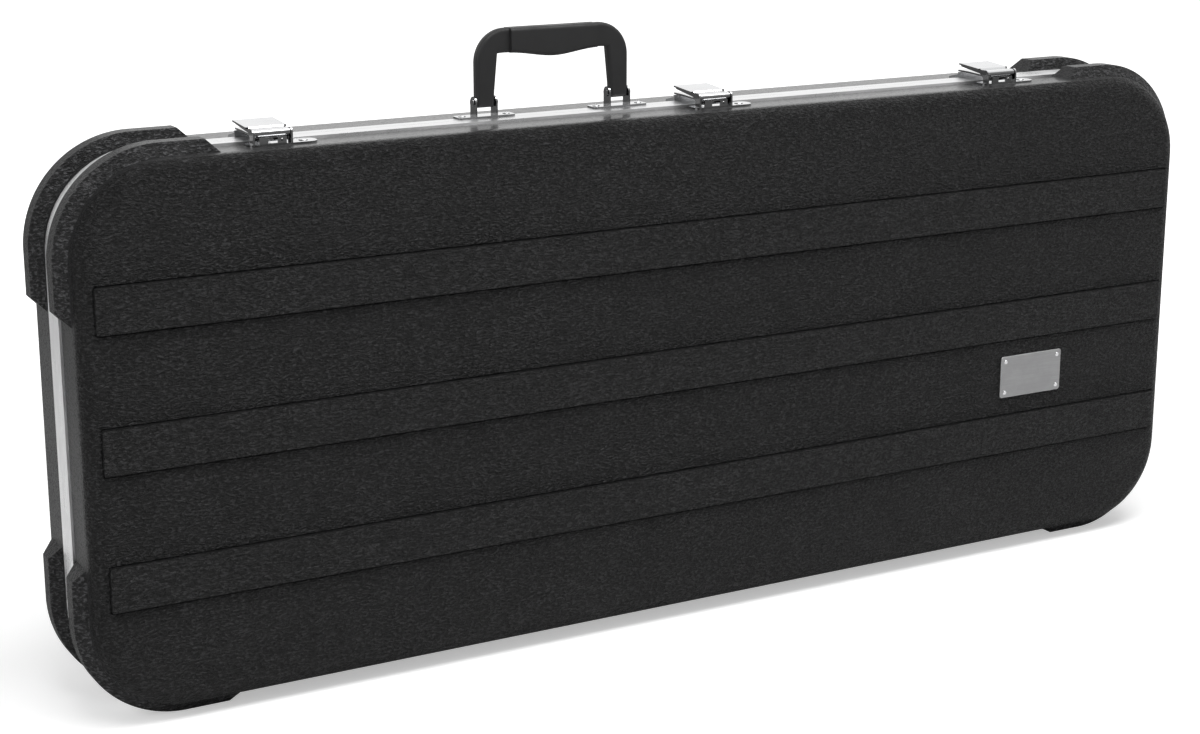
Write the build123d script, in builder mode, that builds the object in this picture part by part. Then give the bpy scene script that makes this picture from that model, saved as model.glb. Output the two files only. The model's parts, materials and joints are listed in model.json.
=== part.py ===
from build123d import *
import math
import os

# Rectangular electric guitar case, standing on its long hinge edge.
# X runs along the case, -Y faces out of the lid, +Y out of the base, Z is up.
# The origin is under the middle of the case, on the floor.

# Whole case
case_length = 1053.0
case_height = 427.0
case_depth = 120.0
corner_radius = 75.0
edge_fillet = 15.0
shell_wall = 3.0
foot_height = 10.0

# Closing line and the two aluminium frames
lid_frame_start = 42.8
lid_frame_width = 13.85
frame_gap = 0.3
base_frame_width = 10.35
frame_proud = 2.0
frame_web = 3.0
frame_web_depth = 5.0
frame_lip = 7.0
tongue_thickness = 1.2
tongue_length = 2.5
tongue_start = 0.8
groove_clearance = 0.3
groove_inner_clearance = 1.0
groove_end_clearance = 0.85

# Raised bands pressed into both faces
band_length = 1027.0
band_height = 36.2
band_pitch = 107.2
band_raise = 1.8
band_count = 3
band_round = 0.9
band_groove_width = 1.1
band_groove_depth = 0.8

# Corner bumpers
bumper_leg = 120.0
bumper_edge_margin = 16.0
bumper_width = 26.3
bumper_flat = 14.0
bumper_flat_start = 6.5
bumper_round = 1.2

# Hinges
hinge_from_end = 196.5
hinge_width = 60.0
hinge_knuckles = 5
knuckle_gap = 0.2
knuckle_radius = 2.75
knuckle_lift = 0.25
hinge_pin_radius = 1.25
hinge_pin_overhang = 1.5
hinge_leaf = 1.2
lid_leaf_depth = 10.5
base_leaf_depth = 9.4
leaf_clearance = 0.3
running_clearance = 0.05

# Latches
left_latch_from_end = 164.2
middle_latch_x = 31.0
right_latch_from_end = 193.2
latch_plate_left_reach = 19.0
latch_plate_right_reach = 38.0
latch_plate_depth = 18.0
latch_plate_start = 23.5
latch_plate_thickness = 1.4
latch_plate_round = 7.5
latch_wall_length = 22.0
latch_wall_height = 7.0
latch_wall_thickness = 1.2
latch_window_length = 8.0
latch_window_height = 4.4
latch_window_sill = 2.0
ear_thickness = 1.5
ear_inset = 14.6
ear_width = 7.0
ear_top_radius = 3.4
lever_pivot_depth = 27.0
lever_pivot_height = 9.6
lever_barrel_radius = 2.8
lever_pin_radius = 1.5
link_drop = 4.6
link_back = 3.6
link_pin_radius = 1.2
lever_side_gap = 0.5
lever_plate = 1.4
lever_rear_width = 33.0
lever_rear_reach = 65.0
lever_rear_height = 15.4
lever_step_reach = 37.5
lever_step = 1.0
cheek_thickness = 1.5
cheek_flange = 3.2
hook_side_gap = 0.5
hook_plate = 1.5
hook_barrel_radius = 2.4
hook_reach_past_lip = 2.4
hook_lift_over_lip = 0.3
keeper_width = 28.0
keeper_depth = 14.4
keeper_start_gap = 0.3
keeper_plate = 1.5
keeper_lip_height = 6.7
keeper_side_height = 3.4

# Handle
handle_x = -102.7
handle_y = 4.6
handle_width = 140.0
handle_leg_spacing = 122.0
handle_rise = 58.6
handle_drop = 4.2
handle_leg_width = 16.4
handle_leg_top_width = 19.5
handle_leg_depth = 9.0
handle_grip_depth = 15.0
handle_grip_length = 80.0
handle_underside = 38.5
handle_bulge = 4.2
handle_corner_radius = 27.0
handle_round = 3.0
handle_foot_round = 2.0
foot_plate_length = 51.0
foot_plate_width = 14.0
foot_plate_thickness = 1.6
foot_ear_height = 10.5
foot_ear_width = 10.0
foot_ear_thickness = 1.5
foot_ear_gap = 0.3
handle_pin_radius = 2.0
handle_pin_head_radius = 3.4
handle_pin_head = 1.0

# Nameplate blank
plate_from_end = 164.5
plate_above_gap_middle = 0.9
plate_length = 70.0
plate_height = 39.0
plate_thickness = 1.2
plate_corner = 2.5
plate_rivet_radius = 2.0
plate_rivet_rise = 0.6
plate_rivet_inset = 5.0

# Inside: padded liners, neck rest and small-parts box
liner_clearance = 0.5
liner_recess = 4.0
lid_liner_thickness = 10.0
lid_liner_inset = 7.0
pocket_floor = 12.0
lower_bout_x = -335.0
lower_bout_radius = 165.0
upper_bout_x = -185.0
upper_bout_radius = 140.0
neck_pocket_end = 345.0
neck_pocket_width = 76.0
head_pocket_end = 500.0
head_pocket_width = 120.0
pocket_round = 10.0
neck_rest_x = 250.0
neck_rest_length = 70.0
neck_rest_height = 26.0
neck_rest_notch = 46.0
neck_rest_notch_depth = 14.0
box_x = 150.0
box_length = 220.0
box_height = 50.0
box_depth = 42.0
box_below_neck = 20.0
box_wall = 2.0
box_clearance = 0.5
door_thickness = 2.5
door_clearance = 0.5
door_pivot_radius = 1.5
door_barrel_radius = 2.4
door_stub_length = 1.6

# Places worked out from the sizes above
face_y = -case_depth / 2
back_y = case_depth / 2
mid_z = foot_height + case_height / 2
wall_top = foot_height + case_height
wall_bottom = foot_height
lid_frame_front = face_y + lid_frame_start
lid_frame_back = lid_frame_front + lid_frame_width
base_frame_front = lid_frame_back + frame_gap
base_frame_back = base_frame_front + base_frame_width
parting_y = lid_frame_back + frame_gap / 2
lid_edge_y = lid_frame_back - frame_web
base_web = frame_web + tongue_length + groove_end_clearance
base_edge_y = base_frame_front + base_web
hinge_z = wall_bottom - frame_proud - knuckle_lift - knuckle_radius
hinge_offset_x = case_length / 2 - hinge_from_end
latch_positions = {
    "left": left_latch_from_end - case_length / 2,
    "middle": middle_latch_x,
    "right": case_length / 2 - right_latch_from_end,
}
plate_x = case_length / 2 - plate_from_end
plate_z = mid_z - band_pitch / 2 + plate_above_gap_middle

os.makedirs("parts", exist_ok=True)


def facing(y):
    """Upright plane across the case at depth y, seen from the lid side."""
    return Plane.XZ.offset(-y)


def finish(piece, label):
    """Name a finished piece and write it out."""
    piece.part.label = label
    export_step(piece.part, f"parts/{label}.step")


def outline_slab(out, y_front, y_back, mode=Mode.ADD):
    """Solid of the case's rounded outline, grown by out, between two depths."""
    with BuildSketch(facing(y_back)) as outline:
        with Locations((0, mid_z)):
            RectangleRounded(case_length + 2 * out, case_height + 2 * out, corner_radius + out)
    return extrude(outline.sketch, amount=y_back - y_front, mode=mode)


def outline_ring(out, inner, y_front, y_back, mode=Mode.ADD):
    """Ring that follows the case's outline between two offsets and two depths."""
    with BuildSketch(facing(y_back)) as ring:
        with Locations((0, mid_z)):
            RectangleRounded(case_length + 2 * out, case_height + 2 * out, corner_radius + out)
            RectangleRounded(
                case_length + 2 * inner, case_height + 2 * inner, corner_radius + inner, mode=Mode.SUBTRACT
            )
    return extrude(ring.sketch, amount=y_back - y_front, mode=mode)


def band_blocks(length, height, y_front, y_back, mode):
    """The raised bands of one face, as plain blocks."""
    with BuildSketch(facing(y_back)) as bands:
        with Locations((0, mid_z)):
            with GridLocations(0, band_pitch, 1, band_count):
                RectangleRounded(length, height, 2 * band_round)
    return extrude(bands.sketch, amount=y_back - y_front, mode=mode)


def band_grooves(y_front, y_back):
    """The narrow groove pressed round each band, cut between two depths."""
    with BuildSketch(facing(y_back)) as grooves:
        with Locations((0, mid_z)):
            with GridLocations(0, band_pitch, 1, band_count):
                RectangleRounded(
                    band_length + 2 * band_groove_width, band_height + 2 * band_groove_width,
                    2 * band_round + band_groove_width,
                )
                RectangleRounded(band_length, band_height, 2 * band_round, mode=Mode.SUBTRACT)
    return extrude(grooves.sketch, amount=y_back - y_front, mode=Mode.SUBTRACT)


# Lid shell: pressed tray with a soft front edge and three raised bands
with BuildPart() as lid_shell:
    outline_slab(0, face_y, lid_edge_y)
    fillet(lid_shell.faces().sort_by(Axis.Y)[0].edges(), edge_fillet)
    band_blocks(band_length, band_height, face_y - band_raise, face_y + shell_wall, Mode.ADD)
    band_rims = lid_shell.edges().filter_by_position(Axis.Y, face_y - band_raise, face_y - band_raise)
    fillet(band_rims, band_round)
    band_grooves(face_y - band_raise, face_y + band_groove_depth)
    with BuildPart(mode=Mode.PRIVATE) as lid_hollow:
        outline_slab(-shell_wall, face_y + shell_wall, lid_edge_y + 1)
        fillet(lid_hollow.faces().sort_by(Axis.Y)[0].edges(), edge_fillet - shell_wall)
        band_blocks(
            band_length - 2 * shell_wall, band_height - 2 * shell_wall,
            face_y + shell_wall - band_raise, face_y + 2 * shell_wall, Mode.ADD,
        )
    add(lid_hollow.part, mode=Mode.SUBTRACT)
finish(lid_shell, "lid_shell")

# Base shell: the deeper tray, with the same bands on its back
with BuildPart() as base_shell:
    outline_slab(0, base_edge_y, back_y)
    fillet(base_shell.faces().sort_by(Axis.Y)[-1].edges(), edge_fillet)
    band_blocks(band_length, band_height, back_y - shell_wall, back_y + band_raise, Mode.ADD)
    band_rims = base_shell.edges().filter_by_position(Axis.Y, back_y + band_raise, back_y + band_raise)
    fillet(band_rims, band_round)
    band_grooves(back_y - band_groove_depth, back_y + band_raise)
    with BuildPart(mode=Mode.PRIVATE) as base_hollow:
        outline_slab(-shell_wall, base_edge_y - 1, back_y - shell_wall)
        fillet(base_hollow.faces().sort_by(Axis.Y)[-1].edges(), edge_fillet - shell_wall)
        band_blocks(
            band_length - 2 * shell_wall, band_height - 2 * shell_wall,
            back_y - 2 * shell_wall, back_y - shell_wall + band_raise, Mode.ADD,
        )
    add(base_hollow.part, mode=Mode.SUBTRACT)
finish(base_shell, "base_shell")

# Lid frame: channel over the shell's edge, with a tongue all round
with BuildPart() as lid_frame:
    outline_ring(frame_proud, 0, lid_frame_front, lid_frame_back)
    outline_ring(0, -frame_web_depth, lid_edge_y, lid_frame_back)
    outline_ring(-shell_wall, -frame_web_depth, lid_edge_y - frame_lip, lid_edge_y)
    outline_ring(
        -tongue_start, -tongue_start - tongue_thickness, lid_frame_back, lid_frame_back + tongue_length
    )
finish(lid_frame, "lid_frame")

# Base frame: channel with the groove that takes the tongue
groove_depth = tongue_length + groove_end_clearance
with BuildPart() as base_frame:
    outline_ring(frame_proud, 0, base_frame_front, base_frame_back)
    outline_ring(0, -frame_web_depth, base_frame_front, base_edge_y)
    outline_ring(-shell_wall, -frame_web_depth, base_edge_y, base_edge_y + frame_lip)
    outline_ring(
        -tongue_start + groove_clearance,
        -tongue_start - tongue_thickness - groove_inner_clearance,
        base_frame_front, base_frame_front + groove_depth, mode=Mode.SUBTRACT,
    )
finish(base_frame, "base_frame")

# One corner bumper: a flat-topped rail round the corner, sloped on every side
leg_straight = bumper_leg - corner_radius
arc_centre_x = -case_length / 2 + corner_radius
arc_centre_z = wall_top - corner_radius
lid_bumper_front = face_y + bumper_edge_margin
with BuildPart() as bumper:
    with BuildLine(facing(lid_bumper_front)) as rail:
        leg_start = (arc_centre_x - corner_radius, arc_centre_z - leg_straight)
        leg_end = (arc_centre_x + leg_straight, arc_centre_z + corner_radius)
        Line(leg_start, (arc_centre_x - corner_radius, arc_centre_z))
        RadiusArc(
            (arc_centre_x - corner_radius, arc_centre_z),
            (arc_centre_x, arc_centre_z + corner_radius), corner_radius,
        )
        Line((arc_centre_x, arc_centre_z + corner_radius), leg_end)
    section_plane = Plane(
        origin=(arc_centre_x - corner_radius, lid_bumper_front, arc_centre_z - leg_straight),
        x_dir=(0, 1, 0), z_dir=(0, 0, 1),
    )
    with BuildSketch(section_plane) as section:
        with BuildLine():
            Polyline(
                (0, 0), (bumper_flat_start, foot_height),
                (bumper_flat_start + bumper_flat, foot_height), (bumper_width, 0), close=True,
            )
        make_face()
    sweep()
    top_edges = bumper.edges().filter_by(
        lambda e: abs(e.center().Y - lid_bumper_front - bumper_flat_start) < 0.01
        or abs(e.center().Y - lid_bumper_front - bumper_flat_start - bumper_flat) < 0.01
    )
    fillet(top_edges, bumper_round)
    lower_end = Plane(
        origin=(-case_length / 2, lid_bumper_front, arc_centre_z - leg_straight), z_dir=(1, 0, 1)
    )
    split(bisect_by=lower_end, keep=Keep.TOP)
    upper_end = Plane(
        origin=(arc_centre_x + leg_straight, lid_bumper_front, wall_top), z_dir=(-1, 0, -1)
    )
    split(bisect_by=upper_end, keep=Keep.TOP)

mid_height = Plane.XY.offset(mid_z)
for side, flip_side in (("left", False), ("right", True)):
    for level, flip_level in (("top", False), ("bottom", True)):
        for half, flip_half in (("lid", False), ("base", True)):
            shape = bumper.part
            if flip_side:
                shape = mirror(shape, about=Plane.YZ)
            if flip_level:
                shape = mirror(shape, about=mid_height)
            if flip_half:
                shape = mirror(shape, about=Plane.XZ)
            with BuildPart() as corner:
                add(shape)
            finish(corner, f"{half}_bumper_{level}_{side}")

# Hinges: two leaves with interlocking knuckles round one pin
knuckle_pitch = hinge_width / hinge_knuckles
leaf_top = wall_bottom - frame_proud
for name, x in (("left", -hinge_offset_x), ("middle", 0.0), ("right", hinge_offset_x)):
    for half, side, depth, owned in (
        ("lid", -1, lid_leaf_depth, (1, 3)), ("base", 1, base_leaf_depth, (0, 2, 4)),
    ):
        with BuildPart() as leaf:
            near = knuckle_radius + leaf_clearance
            with BuildSketch(Plane.XY.offset(leaf_top - hinge_leaf)):
                with Locations((x, parting_y + side * (near + depth) / 2)):
                    Rectangle(hinge_width, depth - near)
            extrude(amount=hinge_leaf)
            outer_corners = leaf.edges().filter_by(Axis.Z).group_by(Axis.Y)[0 if side < 0 else -1]
            fillet(outer_corners, 2 * hinge_leaf)
            for index in owned:
                x_from = x - hinge_width / 2 + index * knuckle_pitch + knuckle_gap / 2
                with BuildSketch(Plane.YZ.offset(x_from)):
                    with Locations((parting_y, hinge_z)):
                        Circle(knuckle_radius)
                    with Locations((parting_y + side * near / 2, leaf_top - hinge_leaf / 2)):
                        Rectangle(near, hinge_leaf)
                    with Locations((parting_y, hinge_z)):
                        Circle(hinge_pin_radius + running_clearance, mode=Mode.SUBTRACT)
                extrude(amount=knuckle_pitch - knuckle_gap)
        finish(leaf, f"hinge_{half}_leaf_{name}")
    with BuildPart() as pin:
        with BuildSketch(Plane.YZ.offset(x - hinge_width / 2 - hinge_pin_overhang)):
            with Locations((parting_y, hinge_z)):
                Circle(hinge_pin_radius)
        extrude(amount=hinge_width + 2 * hinge_pin_overhang)
        chamfer(pin.edges(), hinge_pin_radius / 4)
    finish(pin, f"hinge_pin_{name}")

# Latches: bracket on the lid, lever, hook and the keeper on the base
lever_y = face_y + lever_pivot_depth
lever_z = wall_top + lever_pivot_height
link_y = lever_y + link_back
link_z = lever_z - link_drop
plate_front = face_y + latch_plate_start
latch_plate_length = latch_plate_left_reach + latch_plate_right_reach
keeper_front = base_frame_back + keeper_start_gap
lip_top = wall_top + keeper_lip_height
hook_top = lip_top + hook_lift_over_lip + hook_plate
hook_end = keeper_front + keeper_plate + hook_reach_past_lip
lever_half = ear_inset - lever_side_gap
cheek_out = lever_half
hook_half = cheek_out - cheek_thickness - hook_side_gap
lever_step_y = face_y + lever_step_reach
lever_rear_y = face_y + lever_rear_reach
for name, x in latch_positions.items():
    with BuildPart() as bracket:
        with BuildSketch(Plane.XY.offset(wall_top)):
            with Locations((
                x - latch_plate_left_reach + latch_plate_length / 2, plate_front + latch_plate_depth / 2,
            )):
                RectangleRounded(latch_plate_length, latch_plate_depth, latch_plate_round)
        extrude(amount=latch_plate_thickness)
        with BuildSketch(facing(plate_front + latch_wall_thickness)):
            with Locations((x, wall_top + latch_wall_height / 2)):
                Rectangle(latch_wall_length, latch_wall_height)
            with Locations((x, wall_top + latch_window_sill + latch_window_height / 2)):
                Rectangle(latch_window_length, latch_window_height, mode=Mode.SUBTRACT)
        extrude(amount=latch_wall_thickness)
        for ear_x in (x - ear_inset - ear_thickness, x + ear_inset):
            with BuildSketch(Plane.YZ.offset(ear_x)) as ear:
                with BuildLine():
                    Polyline(
                        (lever_y - ear_width / 2, wall_top), (lever_y - ear_top_radius, lever_z),
                        (lever_y + ear_top_radius, lever_z), (lever_y + ear_width / 2, wall_top), close=True,
                    )
                make_face()
                with Locations((lever_y, lever_z)):
                    Circle(ear_top_radius)
                    Circle(lever_pin_radius + running_clearance, mode=Mode.SUBTRACT)
            extrude(amount=ear_thickness)
    finish(bracket, f"latch_bracket_{name}")

    with BuildPart() as lever_pin:
        with BuildSketch(Plane.YZ.offset(x - ear_inset - ear_thickness - running_clearance)):
            with Locations((lever_y, lever_z)):
                Circle(lever_pin_radius)
        extrude(amount=2 * (ear_inset + ear_thickness + running_clearance))
    finish(lever_pin, f"latch_lever_pin_{name}")

    front_z = lever_z + lever_barrel_radius
    rear_z = wall_top + lever_rear_height
    step_z = front_z + lever_step
    with BuildPart() as lever:
        with BuildSketch(Plane.YZ.offset(x - lever_half)):
            with BuildLine():
                Polyline(
                    (lever_y, front_z), (lever_step_y - lever_step, front_z),
                    (lever_step_y, step_z), (lever_rear_y, rear_z),
                    (lever_rear_y, rear_z - lever_plate), (lever_step_y, step_z - lever_plate),
                    (lever_step_y - lever_step, front_z - lever_plate),
                    (lever_y, front_z - lever_plate), close=True,
                )
            make_face()
            with Locations((lever_y, lever_z)):
                Circle(lever_barrel_radius)
                Circle(lever_pin_radius + running_clearance, mode=Mode.SUBTRACT)
        extrude(amount=2 * lever_half)
        with BuildSketch(Plane.YZ.offset(x - lever_rear_width / 2)):
            with BuildLine():
                Polyline(
                    (lever_step_y, step_z), (lever_rear_y, rear_z),
                    (lever_rear_y, rear_z - lever_plate), (lever_step_y, step_z - lever_plate), close=True,
                )
            make_face()
        extrude(amount=lever_rear_width)
        for cheek_x in (x - cheek_out, x + cheek_out - cheek_thickness):
            with BuildSketch(Plane.YZ.offset(cheek_x)):
                with BuildLine():
                    Polyline(
                        (lever_y, front_z - lever_plate / 2),
                        (lever_step_y - lever_step, front_z - lever_plate / 2),
                        (lever_step_y, step_z - lever_plate / 2),
                        (lever_rear_y, rear_z - lever_plate / 2),
                        (lever_rear_y, rear_z - cheek_flange),
                        (lever_step_y, step_z - cheek_flange - lever_plate),
                        (link_y + 2 * link_pin_radius, link_z),
                        (link_y - 2 * link_pin_radius, link_z),
                        (lever_y - lever_barrel_radius, lever_z), close=True,
                    )
                make_face()
                with Locations((link_y, link_z)):
                    Circle(2 * link_pin_radius)
                    Circle(link_pin_radius + running_clearance, mode=Mode.SUBTRACT)
                with Locations((lever_y, lever_z)):
                    Circle(lever_pin_radius + running_clearance, mode=Mode.SUBTRACT)
            extrude(amount=cheek_thickness)
    finish(lever, f"latch_lever_{name}")

    with BuildPart() as link_pin:
        with BuildSketch(Plane.YZ.offset(x - cheek_out)):
            with Locations((link_y, link_z)):
                Circle(link_pin_radius)
        extrude(amount=2 * cheek_out)
    finish(link_pin, f"latch_link_pin_{name}")

    with BuildPart() as hook:
        with BuildSketch(Plane.YZ.offset(x - hook_half)):
            with Locations((link_y, link_z)):
                Circle(hook_barrel_radius)
            with BuildLine():
                Polyline(
                    (link_y, link_z + hook_barrel_radius), (base_frame_front, hook_top),
                    (hook_end, hook_top), (hook_end, hook_top - hook_plate),
                    (base_frame_front, hook_top - hook_plate),
                    (link_y, link_z + hook_barrel_radius - hook_plate), close=True,
                )
            make_face()
            with Locations((link_y, link_z)):
                Circle(link_pin_radius + running_clearance, mode=Mode.SUBTRACT)
        extrude(amount=2 * hook_half)
    finish(hook, f"latch_hook_{name}")

    with BuildPart() as keeper:
        with BuildSketch(Plane.YZ.offset(x - keeper_width / 2)):
            with BuildLine():
                Polyline(
                    (keeper_front, wall_top), (keeper_front, lip_top),
                    (keeper_front + keeper_plate, lip_top),
                    (keeper_front + keeper_plate, wall_top + keeper_plate),
                    (keeper_front + keeper_depth, wall_top + keeper_plate),
                    (keeper_front + keeper_depth, wall_top), close=True,
                )
            make_face()
        extrude(amount=keeper_width)
        for web_x in (x - keeper_width / 2, x + keeper_width / 2 - keeper_plate):
            with BuildSketch(Plane.YZ.offset(web_x)):
                with BuildLine():
                    Polyline(
                        (keeper_front + keeper_plate, wall_top + keeper_plate),
                        (keeper_front + keeper_plate, wall_top + keeper_plate + keeper_side_height),
                        (keeper_front + keeper_depth, wall_top + keeper_plate), close=True,
                    )
                make_face()
            extrude(amount=keeper_plate)
    finish(keeper, f"latch_keeper_{name}")

# Handle: one moulding, thicker along the grip, hung on two pins
pin_z = wall_top + frame_proud + foot_plate_thickness + foot_ear_height
half_width = handle_width / 2
left = handle_x - half_width
right = handle_x + half_width
low = pin_z - handle_drop
under = pin_z + handle_underside
ear_clear = pin_z + foot_ear_width / 2 + handle_foot_round
with BuildPart() as handle:
    with BuildSketch(facing(handle_y + handle_leg_depth / 2)) as bow:
        with BuildLine():
            Polyline(
                (left + handle_leg_top_width, under), (left + handle_leg_width, ear_clear),
                (left + handle_leg_width, low), (left, low),
                (left, pin_z + handle_rise), (right, pin_z + handle_rise), (right, low),
                (right - handle_leg_width, low), (right - handle_leg_width, ear_clear),
                (right - handle_leg_top_width, under),
            )
            Spline(
                (right - handle_leg_top_width, under),
                (handle_x + handle_grip_length / 3, under - handle_bulge / 4),
                (handle_x, under - handle_bulge),
                (handle_x - handle_grip_length / 3, under - handle_bulge / 4),
                (left + handle_leg_top_width, under),
            )
        make_face()
        fillet(bow.vertices().group_by(Axis.Y)[-1], handle_corner_radius)
        fillet(bow.vertices().group_by(Axis.Y)[0], handle_foot_round)
    extrude(amount=handle_leg_depth)
    bow_faces = handle.faces().sort_by(Axis.Y)
    fillet(bow_faces[0].edges() + bow_faces[-1].edges(), handle_round)
    with BuildPart(mode=Mode.PRIVATE) as grip:
        with BuildSketch(facing(handle_y + handle_grip_depth / 2)) as grip_side:
            with Locations((handle_x, pin_z + handle_rise / 2)):
                Rectangle(handle_grip_length, handle_rise)
            add(bow.sketch, mode=Mode.INTERSECT)
        extrude(amount=handle_grip_depth)
        grip_faces = grip.faces().sort_by(Axis.Y)
        long_rims = (grip_faces[0].edges() + grip_faces[-1].edges()).filter_by(
            lambda e: e.length > handle_grip_length - 1
        )
        fillet(long_rims, handle_round)
    add(grip.part)
    with Locations(Location((left, handle_y, pin_z), (0, 90, 0))):
        Cylinder(handle_pin_radius + running_clearance, 2 * handle_width, mode=Mode.SUBTRACT)
finish(handle, "handle")

ear_offset = handle_leg_width / 2 + foot_ear_gap
leg_middle = half_width - handle_leg_width / 2
for name, x in (("left", handle_x - leg_middle), ("right", handle_x + leg_middle)):
    with BuildPart() as foot:
        with BuildSketch(Plane.XY.offset(wall_top + frame_proud)):
            with Locations((x, handle_y)):
                RectangleRounded(foot_plate_length, foot_plate_width, foot_plate_width / 5)
        extrude(amount=foot_plate_thickness)
        rear_strip = handle_y + foot_plate_width / 2 - base_frame_back - frame_gap
        with BuildSketch(Plane.XY.offset(wall_top)):
            with Locations((x, base_frame_back + frame_gap + rear_strip / 2)):
                Rectangle(foot_plate_length - foot_plate_width, rear_strip)
        extrude(amount=frame_proud + foot_plate_thickness / 2)
        for ear_x in (x - ear_offset - foot_ear_thickness, x + ear_offset):
            with BuildSketch(Plane.YZ.offset(ear_x)):
                with Locations((handle_y, pin_z)):
                    Circle(foot_ear_width / 2)
                with Locations((handle_y, pin_z - foot_ear_height / 2)):
                    Rectangle(foot_ear_width, foot_ear_height)
                with Locations((handle_y, pin_z)):
                    Circle(handle_pin_radius + running_clearance, mode=Mode.SUBTRACT)
            extrude(amount=foot_ear_thickness)
    finish(foot, f"handle_foot_{name}")

    with BuildPart() as handle_pin:
        ear_span = 2 * (ear_offset + foot_ear_thickness + running_clearance)
        with BuildSketch(Plane.YZ.offset(x - ear_span / 2)):
            with Locations((handle_y, pin_z)):
                Circle(handle_pin_radius)
        extrude(amount=ear_span)
        for head_x in (x - ear_span / 2 - handle_pin_head, x + ear_span / 2):
            with BuildSketch(Plane.YZ.offset(head_x)):
                with Locations((handle_y, pin_z)):
                    Circle(handle_pin_head_radius)
            extrude(amount=handle_pin_head)
    finish(handle_pin, f"handle_pin_{name}")

# Nameplate blank with four domed rivets
with BuildPart() as nameplate:
    with BuildSketch(facing(face_y)):
        with Locations((plate_x, plate_z)):
            RectangleRounded(plate_length, plate_height, plate_corner)
    extrude(amount=plate_thickness)
    chamfer(nameplate.faces().sort_by(Axis.Y)[0].edges(), plate_thickness / 3)
finish(nameplate, "nameplate")

with BuildPart() as plate_rivets:
    with BuildSketch(facing(face_y - plate_thickness)):
        with Locations((plate_x, plate_z)):
            with GridLocations(
                plate_length - 2 * plate_rivet_inset, plate_height - 2 * plate_rivet_inset, 2, 2
            ):
                Circle(plate_rivet_radius)
    extrude(amount=plate_rivet_rise)
    chamfer(plate_rivets.faces().group_by(Axis.Y)[0].edges(), plate_rivet_rise / 2)
finish(plate_rivets, "nameplate_rivets")

# Lid liner: a soft padded sheet glued inside the lid
lid_liner_back = face_y + shell_wall + lid_liner_thickness
with BuildPart() as lid_liner:
    outline_slab(-shell_wall - lid_liner_inset, face_y + shell_wall, lid_liner_back)
    liner_front_round = edge_fillet - shell_wall - lid_liner_inset
    fillet(lid_liner.faces().sort_by(Axis.Y)[0].edges(), liner_front_round)
    liner_back_round = (lid_liner_thickness - liner_front_round) * 0.9
    fillet(lid_liner.faces().sort_by(Axis.Y)[-1].edges(), liner_back_round)
finish(lid_liner, "lid_liner")

# Base liner: foam block with the guitar-shaped pocket
liner_front = parting_y + liner_recess
liner_back = back_y - shell_wall
pocket_back = liner_back - pocket_floor
box_top = mid_z - neck_pocket_width / 2 - box_below_neck
box_mid_z = box_top - box_height / 2
frame_inner = frame_web_depth + liner_clearance
with BuildPart() as base_liner:
    outline_slab(-frame_inner, liner_front, liner_back)
    fillet(base_liner.faces().sort_by(Axis.Y)[-1].edges(), edge_fillet - shell_wall)
    with BuildSketch(facing(pocket_back)) as pocket:
        with Locations((lower_bout_x, mid_z)):
            Circle(lower_bout_radius)
        with Locations((upper_bout_x, mid_z)):
            Circle(upper_bout_radius)
        neck_span = neck_pocket_end - upper_bout_x
        with Locations((upper_bout_x + neck_span / 2, mid_z)):
            Rectangle(neck_span, neck_pocket_width)
        head_span = head_pocket_end - neck_pocket_end
        with Locations((neck_pocket_end + head_span / 2, mid_z)):
            Rectangle(head_span, head_pocket_width)
        fillet(pocket.vertices(), pocket_round)
    extrude(pocket.sketch, amount=pocket_back - liner_front, mode=Mode.SUBTRACT)
    with BuildSketch(facing(liner_front + box_depth + box_clearance)) as box_pocket:
        with Locations((box_x, box_mid_z)):
            Rectangle(box_length + 2 * box_clearance, box_height + 2 * box_clearance)
    extrude(box_pocket.sketch, amount=box_depth + box_clearance, mode=Mode.SUBTRACT)
finish(base_liner, "base_liner")

# Neck rest: padded saddle across the neck pocket
with BuildPart() as neck_rest:
    rest_width = neck_pocket_width - 2 * liner_clearance
    with BuildSketch(facing(pocket_back)):
        with Locations((neck_rest_x, mid_z)):
            RectangleRounded(neck_rest_length, rest_width, pocket_round / 2)
    extrude(amount=neck_rest_height)
    notch_plane = Plane.YZ.offset(neck_rest_x - neck_rest_length)
    with BuildSketch(notch_plane):
        with Locations((pocket_back - neck_rest_height, mid_z)):
            RectangleRounded(2 * neck_rest_notch_depth, neck_rest_notch, pocket_round / 2)
    extrude(amount=2 * neck_rest_length, mode=Mode.SUBTRACT)
finish(neck_rest, "neck_rest")

# Small-parts box with a flap that hangs from two stub pivots
box_back = liner_front + box_depth
pivot_y = liner_front + door_barrel_radius + door_clearance / 2
pivot_z = box_mid_z + box_height / 2 - box_wall - door_clearance - door_barrel_radius
inner_length = box_length - 2 * box_wall
with BuildPart() as small_box:
    with BuildSketch(facing(box_back)):
        with Locations((box_x, box_mid_z)):
            Rectangle(box_length, box_height)
    extrude(amount=box_depth)
    with BuildSketch(facing(box_back - box_wall)):
        with Locations((box_x, box_mid_z)):
            RectangleRounded(inner_length, box_height - 2 * box_wall, box_wall / 4)
    extrude(amount=box_depth - box_wall, mode=Mode.SUBTRACT)
    with Locations(Location((box_x, pivot_y, pivot_z), (0, 90, 0))):
        Cylinder(door_pivot_radius + running_clearance, box_length + 2, mode=Mode.SUBTRACT)
finish(small_box, "small_parts_box")

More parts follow.
